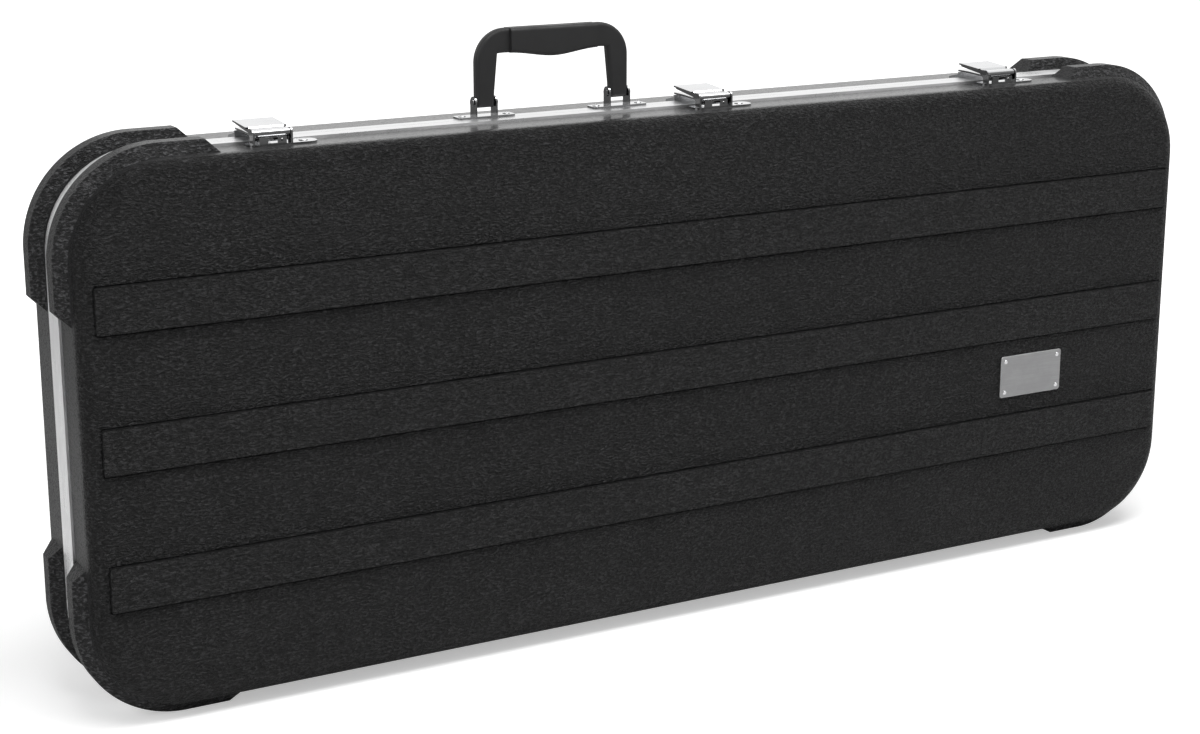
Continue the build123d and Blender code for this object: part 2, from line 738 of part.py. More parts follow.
door_free_edge = box_mid_z - box_height / 2 + box_wall + door_clearance
with BuildPart() as box_door:
    door_length = inner_length - 2 * door_clearance
    with BuildSketch(Plane.YZ.offset(box_x - door_length / 2)):
        with Locations((pivot_y, pivot_z)):
            Circle(door_barrel_radius)
        with BuildLine():
            front = pivot_y - door_barrel_radius
            Polyline(
                (front, pivot_z), (front, door_free_edge), (front + door_thickness, door_free_edge),
                (front + door_thickness, pivot_z), close=True,
            )
        make_face()
    extrude(amount=door_length)
    with BuildSketch(Plane.YZ.offset(box_x - door_length / 2 - door_stub_length)):
        with Locations((pivot_y, pivot_z)):
            Circle(door_pivot_radius)
    extrude(amount=door_length + 2 * door_stub_length)
    with Locations(Location((box_x, front, door_free_edge), (90, 0, 0))):
        Cylinder(box_height / 6, 4 * door_thickness, mode=Mode.SUBTRACT)
finish(box_door, "small_parts_door")
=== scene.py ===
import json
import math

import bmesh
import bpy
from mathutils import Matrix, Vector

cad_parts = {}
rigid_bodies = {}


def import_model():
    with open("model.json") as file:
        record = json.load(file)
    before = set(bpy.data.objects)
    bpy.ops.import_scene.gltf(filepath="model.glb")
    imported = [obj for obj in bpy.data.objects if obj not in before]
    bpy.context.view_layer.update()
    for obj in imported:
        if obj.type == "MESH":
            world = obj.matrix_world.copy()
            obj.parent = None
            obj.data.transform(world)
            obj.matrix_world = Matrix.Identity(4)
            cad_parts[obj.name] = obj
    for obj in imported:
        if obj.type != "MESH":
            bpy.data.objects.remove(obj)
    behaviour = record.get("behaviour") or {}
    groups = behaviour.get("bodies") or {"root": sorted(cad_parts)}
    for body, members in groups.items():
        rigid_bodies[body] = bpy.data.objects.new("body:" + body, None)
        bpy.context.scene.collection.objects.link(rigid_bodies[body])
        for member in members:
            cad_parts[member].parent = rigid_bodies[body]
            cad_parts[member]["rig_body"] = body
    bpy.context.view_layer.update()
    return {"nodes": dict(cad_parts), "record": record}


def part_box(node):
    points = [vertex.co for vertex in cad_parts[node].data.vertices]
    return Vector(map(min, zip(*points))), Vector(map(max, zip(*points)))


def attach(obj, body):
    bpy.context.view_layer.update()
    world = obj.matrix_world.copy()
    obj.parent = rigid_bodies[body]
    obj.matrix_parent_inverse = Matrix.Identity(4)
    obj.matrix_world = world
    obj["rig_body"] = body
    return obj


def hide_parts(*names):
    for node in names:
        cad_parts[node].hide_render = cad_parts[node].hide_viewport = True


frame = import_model()

# %% [markdown]
# A hard case for an electric guitar, standing on its long hinge edge.
# The solid model gives every shape that has to be exact: shells, frames, bumpers,
# hinges, latches and handle. This lesson dresses it: finishes, rivets and screws,
# the plush lining, and the studio that it is photographed in.
# The solids stay where they are. X runs along the case, -Y faces out of the lid, Z is up.

MM = 0.001
nodes = frame["nodes"]
node_body = {name: solid["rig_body"] for name, solid in nodes.items()}

# %% [markdown]
# ## The studio
# The case is shot on a white sweep with very soft light from above and from the left.
# A black case shows almost nothing but reflections, so the lamps are large and few.
# The floor is a pale matt sheet that turns white for the camera where no shadow falls.

# %% Camera
CAMERA_PLACE = (-0.9902, -1.6486, 0.7166)
CAMERA_PITCH = math.radians(75.23)
CAMERA_YAW = math.radians(-29.443)
CAMERA_LENS = 68.9

camera_data = bpy.data.cameras.new("camera")
camera_data.lens = CAMERA_LENS
camera_data.sensor_width = 36.0
camera_data.clip_end = 50.0
camera = bpy.data.objects.new("camera", camera_data)
camera.location = CAMERA_PLACE
camera.rotation_euler = (CAMERA_PITCH, 0.0, CAMERA_YAW)
bpy.context.scene.collection.objects.link(camera)
bpy.context.scene.camera = camera
bpy.context.scene.view_settings.view_transform = "Standard"
print("camera at", CAMERA_PLACE, "lens", CAMERA_LENS)


# %% Node helpers
def link_nodes(tree, source, target):
    """Joins an output socket to an input socket."""
    tree.links.new(source, target)


def add_node(tree, kind, **values):
    """Makes a node and sets its properties, or its inputs when the name is one."""
    node = tree.nodes.new(kind)
    for name, value in values.items():
        key = name.replace("_", " ")
        if hasattr(node, name):
            setattr(node, name, value)
        else:
            match = [s for s in node.inputs if s.name.lower() == key.lower()]
            match[0].default_value = value
    return node


def new_material(name):
    """An empty material with its output node."""
    material = bpy.data.materials.new(name)
    material.use_nodes = True
    material.node_tree.nodes.clear()
    output = material.node_tree.nodes.new("ShaderNodeOutputMaterial")
    return material, material.node_tree, output


# %% Floor
FLOOR_COLOUR = (0.86, 0.86, 0.86, 1.0)
FLOOR_SIZE = 14.0
FLOOR_GLOW = 0.42
GLOW_FROM, GLOW_FULL = 0.5, 1.6

floor_material, tree, output = new_material("floor_white")
matt = add_node(tree, "ShaderNodeBsdfDiffuse", Color=FLOOR_COLOUR)
glow = add_node(tree, "ShaderNodeEmission", Color=(1, 1, 1, 1))
seen = add_node(tree, "ShaderNodeLightPath")
where = add_node(tree, "ShaderNodeTexCoord")
reach = add_node(tree, "ShaderNodeVectorMath", operation="LENGTH")
spread = add_node(tree, "ShaderNodeMapRange", interpolation_type="SMOOTHSTEP")
spread.inputs["From Min"].default_value = GLOW_FROM
spread.inputs["From Max"].default_value = GLOW_FULL
spread.inputs["To Min"].default_value = FLOOR_GLOW
spread.inputs["To Max"].default_value = 1.0
strength = add_node(tree, "ShaderNodeMath", operation="MULTIPLY")
both = add_node(tree, "ShaderNodeAddShader")
link_nodes(tree, where.outputs["Object"], reach.inputs[0])
link_nodes(tree, reach.outputs["Value"], spread.inputs["Value"])
link_nodes(tree, spread.outputs["Result"], strength.inputs[1])
link_nodes(tree, seen.outputs["Is Camera Ray"], strength.inputs[0])
link_nodes(tree, strength.outputs[0], glow.inputs["Strength"])
link_nodes(tree, matt.outputs[0], both.inputs[0])
link_nodes(tree, glow.outputs[0], both.inputs[1])
link_nodes(tree, both.outputs[0], output.inputs["Surface"])

bpy.ops.mesh.primitive_plane_add(size=FLOOR_SIZE, location=(0, 0, 0))
floor = bpy.context.object
floor.name = "floor"
floor.data.materials.append(floor_material)
print("floor glow", FLOOR_GLOW, "rising to 1 at", GLOW_FULL, "m")

# %% [markdown]
# The air round the case is dim, so that black faces stay black, while the camera sees
# pure white. Polished parts mirror white only towards the back and the right, which
# leaves them the dark reflections that chrome has in a studio. On the latches and handle
# feet the upright faces are also darkened in colour, a painted reflection.

# %% Air
AIR_STRENGTH = 0.3
BACK_SHARE = 0.7
SKY_DARK, SKY_WHITE = -0.5, 0.35

world = bpy.data.worlds.new("studio_air")
bpy.context.scene.world = world
world.use_nodes = True
tree = world.node_tree
tree.nodes.clear()
output = tree.nodes.new("ShaderNodeOutputWorld")
air = add_node(tree, "ShaderNodeBackground", Color=(1, 1, 1, 1), Strength=AIR_STRENGTH)
white = add_node(tree, "ShaderNodeBackground", Color=(1, 1, 1, 1), Strength=1.0)
choose = add_node(tree, "ShaderNodeMixShader")
seen = add_node(tree, "ShaderNodeLightPath")
shown = add_node(tree, "ShaderNodeMath", operation="ADD", use_clamp=True)
glossy = add_node(tree, "ShaderNodeMath", operation="MULTIPLY")
mirrored = add_node(tree, "ShaderNodeMath", operation="ADD")
sky_place = add_node(tree, "ShaderNodeTexCoord")
sky_split = add_node(tree, "ShaderNodeSeparateXYZ")
sky_tilt = add_node(tree, "ShaderNodeMath", operation="MULTIPLY_ADD")
sky_tilt.inputs[1].default_value = BACK_SHARE
sky_range = add_node(tree, "ShaderNodeMapRange", interpolation_type="SMOOTHSTEP")
sky_range.inputs["From Min"].default_value = SKY_DARK
sky_range.inputs["From Max"].default_value = SKY_WHITE
link_nodes(tree, sky_place.outputs["Generated"], sky_split.inputs[0])
link_nodes(tree, sky_split.outputs["Y"], sky_tilt.inputs[0])
link_nodes(tree, sky_split.outputs["X"], sky_tilt.inputs[2])
link_nodes(tree, sky_tilt.outputs[0], sky_range.inputs["Value"])
link_nodes(tree, seen.outputs["Is Glossy Ray"], glossy.inputs[0])
link_nodes(tree, sky_range.outputs["Result"], glossy.inputs[1])
link_nodes(tree, glossy.outputs[0], mirrored.inputs[0])
link_nodes(tree, seen.outputs["Is Transmission Ray"], mirrored.inputs[1])
link_nodes(tree, seen.outputs["Is Camera Ray"], shown.inputs[0])
link_nodes(tree, mirrored.outputs[0], shown.inputs[1])
link_nodes(tree, shown.outputs[0], choose.inputs[0])
link_nodes(tree, air.outputs[0], choose.inputs[1])
link_nodes(tree, white.outputs[0], choose.inputs[2])
link_nodes(tree, choose.outputs[0], output.inputs["Surface"])
print("air strength", AIR_STRENGTH)


# %% Lamps
def softbox(name, place, target, size, power):
    """A rectangular lamp that points at a place on the case."""
    lamp = bpy.data.lights.new(name, "AREA")
    lamp.shape = "RECTANGLE"
    lamp.size, lamp.size_y = size
    lamp.energy = power
    holder = bpy.data.objects.new(name, lamp)
    holder.location = place
    direction = Vector(target) - Vector(place)
    holder.rotation_euler = direction.to_track_quat("-Z", "Y").to_euler()
    bpy.context.scene.collection.objects.link(holder)
    return holder


softbox("lamp_above", (0.1, -0.75, 2.3), (0, 0, 0.2), (2.4, 1.0), 44.0)
softbox("lamp_left", (-2.4, -0.5, 1.3), (-0.3, 0, 0.2), (1.4, 1.4), 16.0)
softbox("lamp_front", (0.9, -2.6, 1.8), (0.1, 0, 0.2), (1.8, 1.2), 5.0)
print("lamps: above, left and front")

# %% [markdown]
# ## Shared effects
# Four effects come back in several finishes, so each is a group of nodes:
# the pressed leather grain of the plastic, the fine wear that lightens edges,
# the long strokes of brushed metal, and a thin film of dust and handling marks.
# A group gives masks and heights. Each finish decides what to do with them.


# %% Group maker
def new_group(name, inputs, outputs):
    """A shader group. An input is a number, or a vector where its value is None."""
    group = bpy.data.node_groups.new(name, "ShaderNodeTree")
    for label, value in inputs.items():
        kind = "NodeSocketVector" if value is None else "NodeSocketFloat"
        socket = group.interface.new_socket(label, in_out="INPUT", socket_type=kind)
        if value is not None:
            socket.default_value = value
    for label in outputs:
        group.interface.new_socket(label, in_out="OUTPUT", socket_type="NodeSocketFloat")
    enter = group.nodes.new("NodeGroupInput")
    leave = group.nodes.new("NodeGroupOutput")
    return group, enter, leave


def math_node(tree, operation, a, b=None, clamp=False):
    """A Math node whose inputs are sockets or plain numbers."""
    node = tree.nodes.new("ShaderNodeMath")
    node.operation = operation
    node.use_clamp = clamp
    for index, value in enumerate((a, b)):
        if value is None:
            continue
        if isinstance(value, (int, float)):
            node.inputs[index].default_value = value
        else:
            tree.links.new(value, node.inputs[index])
    return node.outputs[0]


def range_node(tree, value, low, high, out_low=0.0, out_high=1.0, smooth=True):
    """Maps a value from one range to another, held at both ends."""
    node = tree.nodes.new("ShaderNodeMapRange")
    node.interpolation_type = "SMOOTHSTEP" if smooth else "LINEAR"
    node.clamp = True
    for name, number in (
        ("From Min", low), ("From Max", high), ("To Min", out_low), ("To Max", out_high),
    ):
        node.inputs[name].default_value = number
    tree.links.new(value, node.inputs["Value"])
    return node.outputs["Result"]


# %% Leather grain pressed into the plastic
def make_grain():
    """Short soft wrinkles, wider than they are tall, with fine pores between them."""
    group, enter, leave = new_group(
        "pressed_grain", {"Vector": None, "Wrinkle": 520.0}, ("Height", "Crease", "Ridge"),
    )
    stretch = group.nodes.new("ShaderNodeVectorMath")
    stretch.operation = "MULTIPLY"
    stretch.inputs[1].default_value = (0.48, 0.75, 1.0)
    group.links.new(enter.outputs["Vector"], stretch.inputs[0])
    folds = add_node(
        group, "ShaderNodeTexNoise", Detail=2.0, Roughness=0.55, Lacunarity=2.2, Distortion=0.5,
    )
    group.links.new(stretch.outputs[0], folds.inputs["Vector"])
    group.links.new(enter.outputs["Wrinkle"], folds.inputs["Scale"])
    pores = add_node(group, "ShaderNodeTexVoronoi", feature="SMOOTH_F1", Scale=620.0)
    group.links.new(stretch.outputs[0], pores.inputs["Vector"])
    patch = add_node(group, "ShaderNodeTexNoise", Scale=30.0, Detail=2.0)
    group.links.new(enter.outputs["Vector"], patch.inputs["Vector"])
    depth = range_node(group, patch.outputs["Fac"], 0.35, 0.65, 0.75, 1.15)
    fold = range_node(group, folds.outputs["Fac"], 0.3, 0.7, smooth=False)
    pit = math_node(group, "MULTIPLY", pores.outputs["Distance"], 0.22)
    height = math_node(group, "MULTIPLY", math_node(group, "SUBTRACT", fold, pit), depth)
    group.links.new(height, leave.inputs["Height"])
    group.links.new(range_node(group, fold, 0.2, 0.5, 1.0, 0.0), leave.inputs["Crease"])
    group.links.new(range_node(group, fold, 0.55, 0.85), leave.inputs["Ridge"])
    return group


grain_group = make_grain()
print("group:", grain_group.name)


# %% Wear along edges
def make_wear():
    """A broken mask along sharp edges, read from a rounded copy of the normal."""
    group, enter, leave = new_group(
        "edge_wear", {"Vector": None, "Reach": 0.0012, "Patchiness": 30.0}, ("Mask",),
    )
    rounded = add_node(group, "ShaderNodeBevel", samples=4)
    group.links.new(enter.outputs["Reach"], rounded.inputs["Radius"])
    true = group.nodes.new("ShaderNodeNewGeometry")
    dot = group.nodes.new("ShaderNodeVectorMath")
    dot.operation = "DOT_PRODUCT"
    group.links.new(rounded.outputs[0], dot.inputs[0])
    group.links.new(true.outputs["Normal"], dot.inputs[1])
    edge = range_node(group, dot.outputs["Value"], 0.86, 0.995, 1.0, 0.0)
    breaks = add_node(group, "ShaderNodeTexNoise", Detail=4.0, Roughness=0.7)
    group.links.new(enter.outputs["Vector"], breaks.inputs["Vector"])
    group.links.new(enter.outputs["Patchiness"], breaks.inputs["Scale"])
    broken = range_node(group, breaks.outputs["Fac"], 0.4, 0.66)
    mask = math_node(group, "MULTIPLY", edge, broken)
    group.links.new(mask, leave.inputs["Mask"])
    return group


wear_group = make_wear()
print("group:", wear_group.name)


# %% Brushed strokes
def make_strokes():
    """Fine noise, drawn out to lines by the stretch of the vector that comes in."""
    group, enter, leave = new_group(
        "brushed_strokes", {"Vector": None, "Lines": 900.0}, ("Line",),
    )
    fine = add_node(group, "ShaderNodeTexNoise", Detail=3.0, Roughness=0.6)
    group.links.new(enter.outputs["Vector"], fine.inputs["Vector"])
    group.links.new(enter.outputs["Lines"], fine.inputs["Scale"])
    group.links.new(fine.outputs["Fac"], leave.inputs["Line"])
    return group


stroke_group = make_strokes()
print("group:", stroke_group.name)


# %% Dust and handling marks
def make_marks():
    """Cloudy smears, for roughness and a breath of colour."""
    group, enter, leave = new_group(
        "handling_marks", {"Vector": None, "Size": 12.0}, ("Smear",),
    )
    cloud = add_node(group, "ShaderNodeTexNoise", Detail=5.0, Roughness=0.65)
    group.links.new(enter.outputs["Vector"], cloud.inputs["Vector"])
    group.links.new(enter.outputs["Size"], cloud.inputs["Scale"])
    smear = range_node(group, cloud.outputs["Fac"], 0.38, 0.68)
    group.links.new(smear, leave.inputs["Smear"])
    return group


marks_group = make_marks()
print("group:", marks_group.name)


# %% Finish maker
def place_group(tree, group, vector, **values):
    """Puts a shared group in a material, fed by a vector, with this finish's values."""
    node = tree.nodes.new("ShaderNodeGroup")
    node.node_tree = group
    tree.links.new(vector, node.inputs["Vector"])
    for name, value in values.items():
        node.inputs[name].default_value = value
    return node


def object_vector(tree, scale=(1.0, 1.0, 1.0)):
    """Object coordinates in metres, stretched by a factor on each axis."""
    where = tree.nodes.new("ShaderNodeTexCoord")
    mapping = tree.nodes.new("ShaderNodeMapping")
    mapping.inputs["Scale"].default_value = scale
    tree.links.new(where.outputs["Object"], mapping.inputs["Vector"])
    return mapping.outputs["Vector"]


def object_facing(tree, axis):
    """How far a face looks along an axis of its own object, either way: 0 to 1."""
    where = tree.nodes.new("ShaderNodeTexCoord")
    split = tree.nodes.new("ShaderNodeSeparateXYZ")
    tree.links.new(where.outputs["Normal"], split.inputs[0])
    return math_node(tree, "ABSOLUTE", split.outputs[axis])


def shade(colour, factor):
    """A colour made darker or lighter."""
    return tuple(factor * part for part in colour)


def mix_colours(tree, factor, first, second):
    """Blends two colours, each a socket or a plain colour, by a mask."""
    node = tree.nodes.new("ShaderNodeMix")
    node.data_type = "RGBA"
    tree.links.new(factor, node.inputs[0])
    for socket, value in ((node.inputs[6], first), (node.inputs[7], second)):
        if isinstance(value, tuple):
            socket.default_value = (*value, 1.0)
        else:
            tree.links.new(value, socket)
    return node.outputs[2]


def principled(tree, output, **values):
    """A Principled BSDF with plain values set on its own sockets."""
    shader = tree.nodes.new("ShaderNodeBsdfPrincipled")
    for name, value in values.items():
        shader.inputs[name.replace("_", " ")].default_value = value
    tree.links.new(shader.outputs[0], output.inputs["Surface"])
    return shader


def bump(tree, height, strength, distance):
    """A Bump node. Its distance is in metres."""
    node = tree.nodes.new("ShaderNodeBump")
    node.inputs["Strength"].default_value = strength
    node.inputs["Distance"].default_value = distance
    tree.links.new(height, node.inputs["Height"])
    return node.outputs["Normal"]


finishes = {}

# %% [markdown]
# ## Grained black plastic
# The shells are black plastic sheet, formed over a mould with a leather grain.
# On the broad faces the grain is crisp, with painted shade in its creases and a painted
# highlight on its ridges. Where the sheet is drawn down the side walls it is stretched
# smoother, so its grain fades, and the walls get painted light: a lighter colour than the broad
# faces.
# The object's own normal tells the two apart, so the finish stays put when the lid swings.


# %% Shells and bumpers
# The first of these darkens the grain's creases, painted shade; the second lightens its ridges, a
# painted highlight; the third lightens dust.
CREASE_PAINTED_SHADE, RIDGE_PAINTED_HIGHLIGHT, DUST_SHADE = 0.25, 7.0, 3.0
WORN_PLASTIC = (0.08, 0.08, 0.082)


def grained_plastic(
    name, colour, painted_light_wall_colour, roughness, wrinkle, depth, specular, wall_grain, shine
):
    """Black plastic with a pressed grain that fades out on the drawn side walls."""
    material, tree, output = new_material(name)
    vector = object_vector(tree)
    grain = place_group(tree, grain_group, vector, Wrinkle=wrinkle)
    marks = place_group(tree, marks_group, vector, Size=7.0)
    wear = place_group(tree, wear_group, vector, Reach=0.001, Patchiness=45.0)
    facing = object_facing(tree, "Y")
    level = object_facing(tree, "Z")
    broad = range_node(tree, facing, 0.1, 0.4)
    # Painted light: the side walls, faces that do not look along Y, get a lighter colour.
    body = mix_colours(tree, broad, painted_light_wall_colour, colour)
    # Painted shade: the creases of the grain on the broad faces are darkened in colour.
    crease_shade_mask = math_node(tree, "MULTIPLY", grain.outputs["Crease"], broad)
    painted_crease_shade = mix_colours(tree, crease_shade_mask, body, shade(colour, CREASE_PAINTED_SHADE))
    # Painted highlight: the ridges of the grain on the broad faces are lightened in colour.
    broad_highlight_share = math_node(tree, "MULTIPLY", broad, 0.8)
    ridge_highlight_mask = math_node(tree, "MULTIPLY", grain.outputs["Ridge"], broad_highlight_share)
    painted_ridge_highlight = mix_colours(tree, ridge_highlight_mask, painted_crease_shade, shade(colour, RIDGE_PAINTED_HIGHLIGHT))
    dusty = mix_colours(
        tree, math_node(tree, "MULTIPLY", marks.outputs["Smear"], 0.12), painted_ridge_highlight,
        shade(colour, DUST_SHADE),
    )
    worn = mix_colours(
        tree, math_node(tree, "MULTIPLY", wear.outputs["Mask"], 0.2), dusty, WORN_PLASTIC,
    )
    shader = principled(
        tree, output, Specular_IOR_Level=specular, IOR=1.5, Coat_Roughness=0.2, Coat_IOR=1.5,
    )
    tree.links.new(worn, shader.inputs["Base Color"])
    rough = math_node(tree, "MULTIPLY", grain.outputs["Crease"], 0.14)
    rough = math_node(tree, "ADD", rough, roughness)
    smear = math_node(tree, "MULTIPLY", marks.outputs["Smear"], 0.06)
    tree.links.new(math_node(tree, "ADD", rough, smear, True), shader.inputs["Roughness"])
    polish = math_node(tree, "MULTIPLY", range_node(tree, level, 0.92, 0.995), shine)
    tree.links.new(polish, shader.inputs["Coat Weight"])
    fade = range_node(tree, facing, 0.08, 0.4, wall_grain, 1.0)
    height = math_node(tree, "MULTIPLY", grain.outputs["Height"], fade)
    tree.links.new(bump(tree, height, 1.0, depth), shader.inputs["Normal"])
    finishes[name] = material
    return material


grained_plastic(
    "shell_grain", colour=(0.0055, 0.0055, 0.0057), painted_light_wall_colour=(0.017, 0.017, 0.0175),
    roughness=0.36, wrinkle=640.0, depth=0.0026, specular=0.2, wall_grain=0.04, shine=0.65,
)
grained_plastic(
    "bumper_grain", colour=(0.011, 0.011, 0.0115), painted_light_wall_colour=(0.015, 0.015, 0.0155),
    roughness=0.42, wrinkle=600.0, depth=0.0014, specular=0.25, wall_grain=0.6, shine=0.25,
)
print("plastics: shell_grain, bumper_grain")

# %% [markdown]
# ## Handle plastic
# The handle is a smooth matt moulding. It has no pressed grain, only the very fine
# spark-eroded texture of its mould, polished a little where the hand holds it.

# %% Handle and box
material, tree, output = new_material("handle_matt")
vector = object_vector(tree)
marks = place_group(tree, marks_group, vector, Size=26.0)
fine = add_node(tree, "ShaderNodeTexNoise", Scale=1700.0, Detail=3.0)
tree.links.new(vector, fine.inputs["Vector"])
colour = mix_colours(
    tree, math_node(tree, "MULTIPLY", marks.outputs["Smear"], 0.3),
    (0.0185, 0.0185, 0.019), (0.026, 0.026, 0.0265),
)
shader = principled(tree, output, Specular_IOR_Level=0.3)
tree.links.new(colour, shader.inputs["Base Color"])
polished = range_node(tree, marks.outputs["Smear"], 0.0, 1.0, 0.58, 0.42)
tree.links.new(polished, shader.inputs["Roughness"])
tree.links.new(bump(tree, fine.outputs["Fac"], 0.35, 0.00012), shader.inputs["Normal"])
finishes["handle_matt"] = material
print("finish: handle_matt")

# %% [markdown]
# ## Metals
# The closing frame is extruded aluminium with strokes that run round the case.
# Latches and handle feet are chromed pressings, nearly a mirror with faint smudges, with upright
# faces painted dark: a painted reflection.
# Keepers, hinges and rivets are duller plated steel. The nameplate is brushed lengthwise.


# %% Metal maker
EDGE_COLOUR = (0.9, 0.9, 0.9)
STAIN = 0.25


def metal(
    name, colour, roughness, stroke_scale=None, lines=900.0, depth=0.00003, spread=0.12, side=1.0
):
    """A metal with smudges, bright edges, and strokes where a stretch is given.

    A side below 1 darkens the upright faces in colour, a painted dark reflection of the room that
    chrome mirrors.
    """
    material, tree, output = new_material(name)
    vector = object_vector(tree)
    marks = place_group(tree, marks_group, vector, Size=40.0)
    wear = place_group(tree, wear_group, vector, Reach=0.0006, Patchiness=160.0)
    shader = principled(tree, output, Metallic=1.0)
    smear = math_node(tree, "MULTIPLY", marks.outputs["Smear"], STAIN)
    tone = mix_colours(tree, smear, colour, shade(colour, 0.82))
    rough = range_node(tree, marks.outputs["Smear"], 0.0, 1.0, roughness, roughness + spread)
    if stroke_scale is not None:
        strokes = place_group(tree, stroke_group, object_vector(tree, stroke_scale), Lines=lines)
        line = range_node(tree, strokes.outputs["Line"], 0.3, 0.7)
        tone = mix_colours(tree, line, shade(colour, 0.86), tone)
        rough = math_node(tree, "ADD", rough, math_node(tree, "MULTIPLY", line, 0.1))
        height = strokes.outputs["Line"]
    else:
        ripple = add_node(tree, "ShaderNodeTexNoise", Scale=120.0, Detail=2.0)
        tree.links.new(vector, ripple.inputs["Vector"])
        height = ripple.outputs["Fac"]
    # Painted reflection: faces that do not look up are darkened in colour, as if mirroring a dark
    # room.
    if side < 1.0:
        level = range_node(tree, object_facing(tree, "Z"), 0.35, 0.8)
        tone = mix_colours(tree, level, shade(colour, side), tone)
    rubbed = math_node(tree, "MULTIPLY", wear.outputs["Mask"], 0.5)
    bright = mix_colours(tree, rubbed, tone, EDGE_COLOUR)
    tree.links.new(bright, shader.inputs["Base Color"])
    tree.links.new(rough, shader.inputs["Roughness"])
    tree.links.new(bump(tree, height, 0.5, depth), shader.inputs["Normal"])
    finishes[name] = material
    return material


metal("frame_brushed", (0.92, 0.92, 0.925), 0.24, (0.015, 1.0, 0.015), 1300.0, 0.00004)
# The two chromes below get upright faces painted dark, a painted reflection.
metal("latch_mirror", (0.8, 0.805, 0.815), 0.07, depth=0.00005, spread=0.1, side=0.2)
metal("foot_mirror", (0.8, 0.805, 0.815), 0.1, depth=0.00004, spread=0.1, side=0.2)
metal("keeper_plated", (0.5, 0.505, 0.515), 0.22)
metal("hinge_plated", (0.56, 0.565, 0.57), 0.28, (0.03, 1.0, 1.0), 700.0)
metal("plate_satin", (0.4, 0.4, 0.405), 0.34, (0.02, 1.0, 1.0), 1500.0, 0.00003)
metal("rivet_dome", (0.78, 0.785, 0.795), 0.16)
print("finishes:", ", ".join(sorted(finishes)))

# %% [markdown]
# ## Plush
# Inside, the case is lined with short black plush on foam. Plush has no weave to see:
# it has tiny tufts, brushed this way and that, and a soft light rim where the pile
# is seen from the side. The rim comes from sheen, the brushing from slow noise.

# %% Plush finish
material, tree, output = new_material("plush_pile")
vector = object_vector(tree)
tufts = add_node(tree, "ShaderNodeTexNoise", Scale=1100.0, Detail=3.0, Roughness=0.7)
tree.links.new(vector, tufts.inputs["Vector"])
brushed = add_node(tree, "ShaderNodeTexNoise", Scale=16.0, Detail=3.0, Distortion=0.8)
tree.links.new(vector, brushed.inputs["Vector"])
nap = range_node(tree, brushed.outputs["Fac"], 0.4, 0.6)
base = mix_colours(tree, nap, (0.018, 0.018, 0.02), (0.034, 0.034, 0.037))
tips = range_node(tree, tufts.outputs["Fac"], 0.35, 0.65)
# Painted shade: the pile is darkened between the tufts, where the tuft noise is low.
pile = mix_colours(tree, tips, (0.008, 0.008, 0.009), base)
shader = principled(
    tree, output, Roughness=0.95, Specular_IOR_Level=0.15, Sheen_Weight=0.45, Sheen_Roughness=0.4,
)
tree.links.new(pile, shader.inputs["Base Color"])
tree.links.new(bump(tree, tufts.outputs["Fac"], 0.8, 0.0008), shader.inputs["Normal"])
finishes["plush_pile"] = material
print("finish: plush_pile")

# %% Finishes on the solids
SLOT_FINISH = {
    "shell_plastic": "shell_grain",
    "bumper_plastic": "bumper_grain",
    "frame_aluminium": "frame_brushed",
    "handle_plastic": "handle_matt",
    "foot_chrome": "foot_mirror",
    "keeper_steel": "keeper_plated",
    "latch_chrome": "latch_mirror",
    "hinge_steel": "hinge_plated",
    "nameplate_metal": "plate_satin",
    "rivet_metal": "rivet_dome",
    "liner_plush": "plush_pile",
    "box_plastic": "handle_matt",
}
node_slot = {part["node"]: part["material_slot"] for part in frame["record"]["subparts"]}
print("solids with a slot:", len(node_slot), "of", len(nodes))
for name, solid in nodes.items():
    solid.data.materials.clear()
    solid.data.materials.append(finishes[SLOT_FINISH[node_slot[name]]])

# %% [markdown]
# ## Plush padding
# Foam covered with plush has no sharp edge anywhere. A copy of each plain solid is
# remeshed to even squares, smoothed, and then blown up a little as cloth, held where
# it is glued to the shell. The cap keeps the swelling to what thin foam can do.


# %% Soft copies of the solids
def even_copy(name, node, voxel, smooth_turns, shrink):
    """A closed mesh of even squares over a solid, softened and a little smaller."""
    shape = bmesh.new()
    shape.from_mesh(nodes[node].data)
    bmesh.ops.remove_doubles(shape, verts=shape.verts, dist=0.01 * MM)
    bmesh.ops.recalc_face_normals(shape, faces=shape.faces)
    mesh = bpy.data.meshes.new(name)
    shape.to_mesh(mesh)
    shape.free()
    piece = bpy.data.objects.new(name, mesh)
    bpy.context.scene.collection.objects.link(piece)
    remesh = piece.modifiers.new("even", "REMESH")
    remesh.mode = "VOXEL"
    remesh.voxel_size = voxel
    soften = piece.modifiers.new("soften", "SMOOTH")
    soften.factor = 0.5
    soften.iterations = smooth_turns
    apply_modifiers(piece)
    shape = bmesh.new()
    shape.from_mesh(piece.data)
    for corner in shape.verts:
        corner.co -= corner.normal * shrink
    shape.to_mesh(piece.data)
    shape.free()
    return piece


def apply_modifiers(piece):
    """Keeps the evaluated mesh and drops the modifiers."""
    graph = bpy.context.evaluated_depsgraph_get()
    mesh = bpy.data.meshes.new_from_object(piece.evaluated_get(graph))
    piece.modifiers.clear()
    piece.data = mesh
    piece.data.materials.clear()


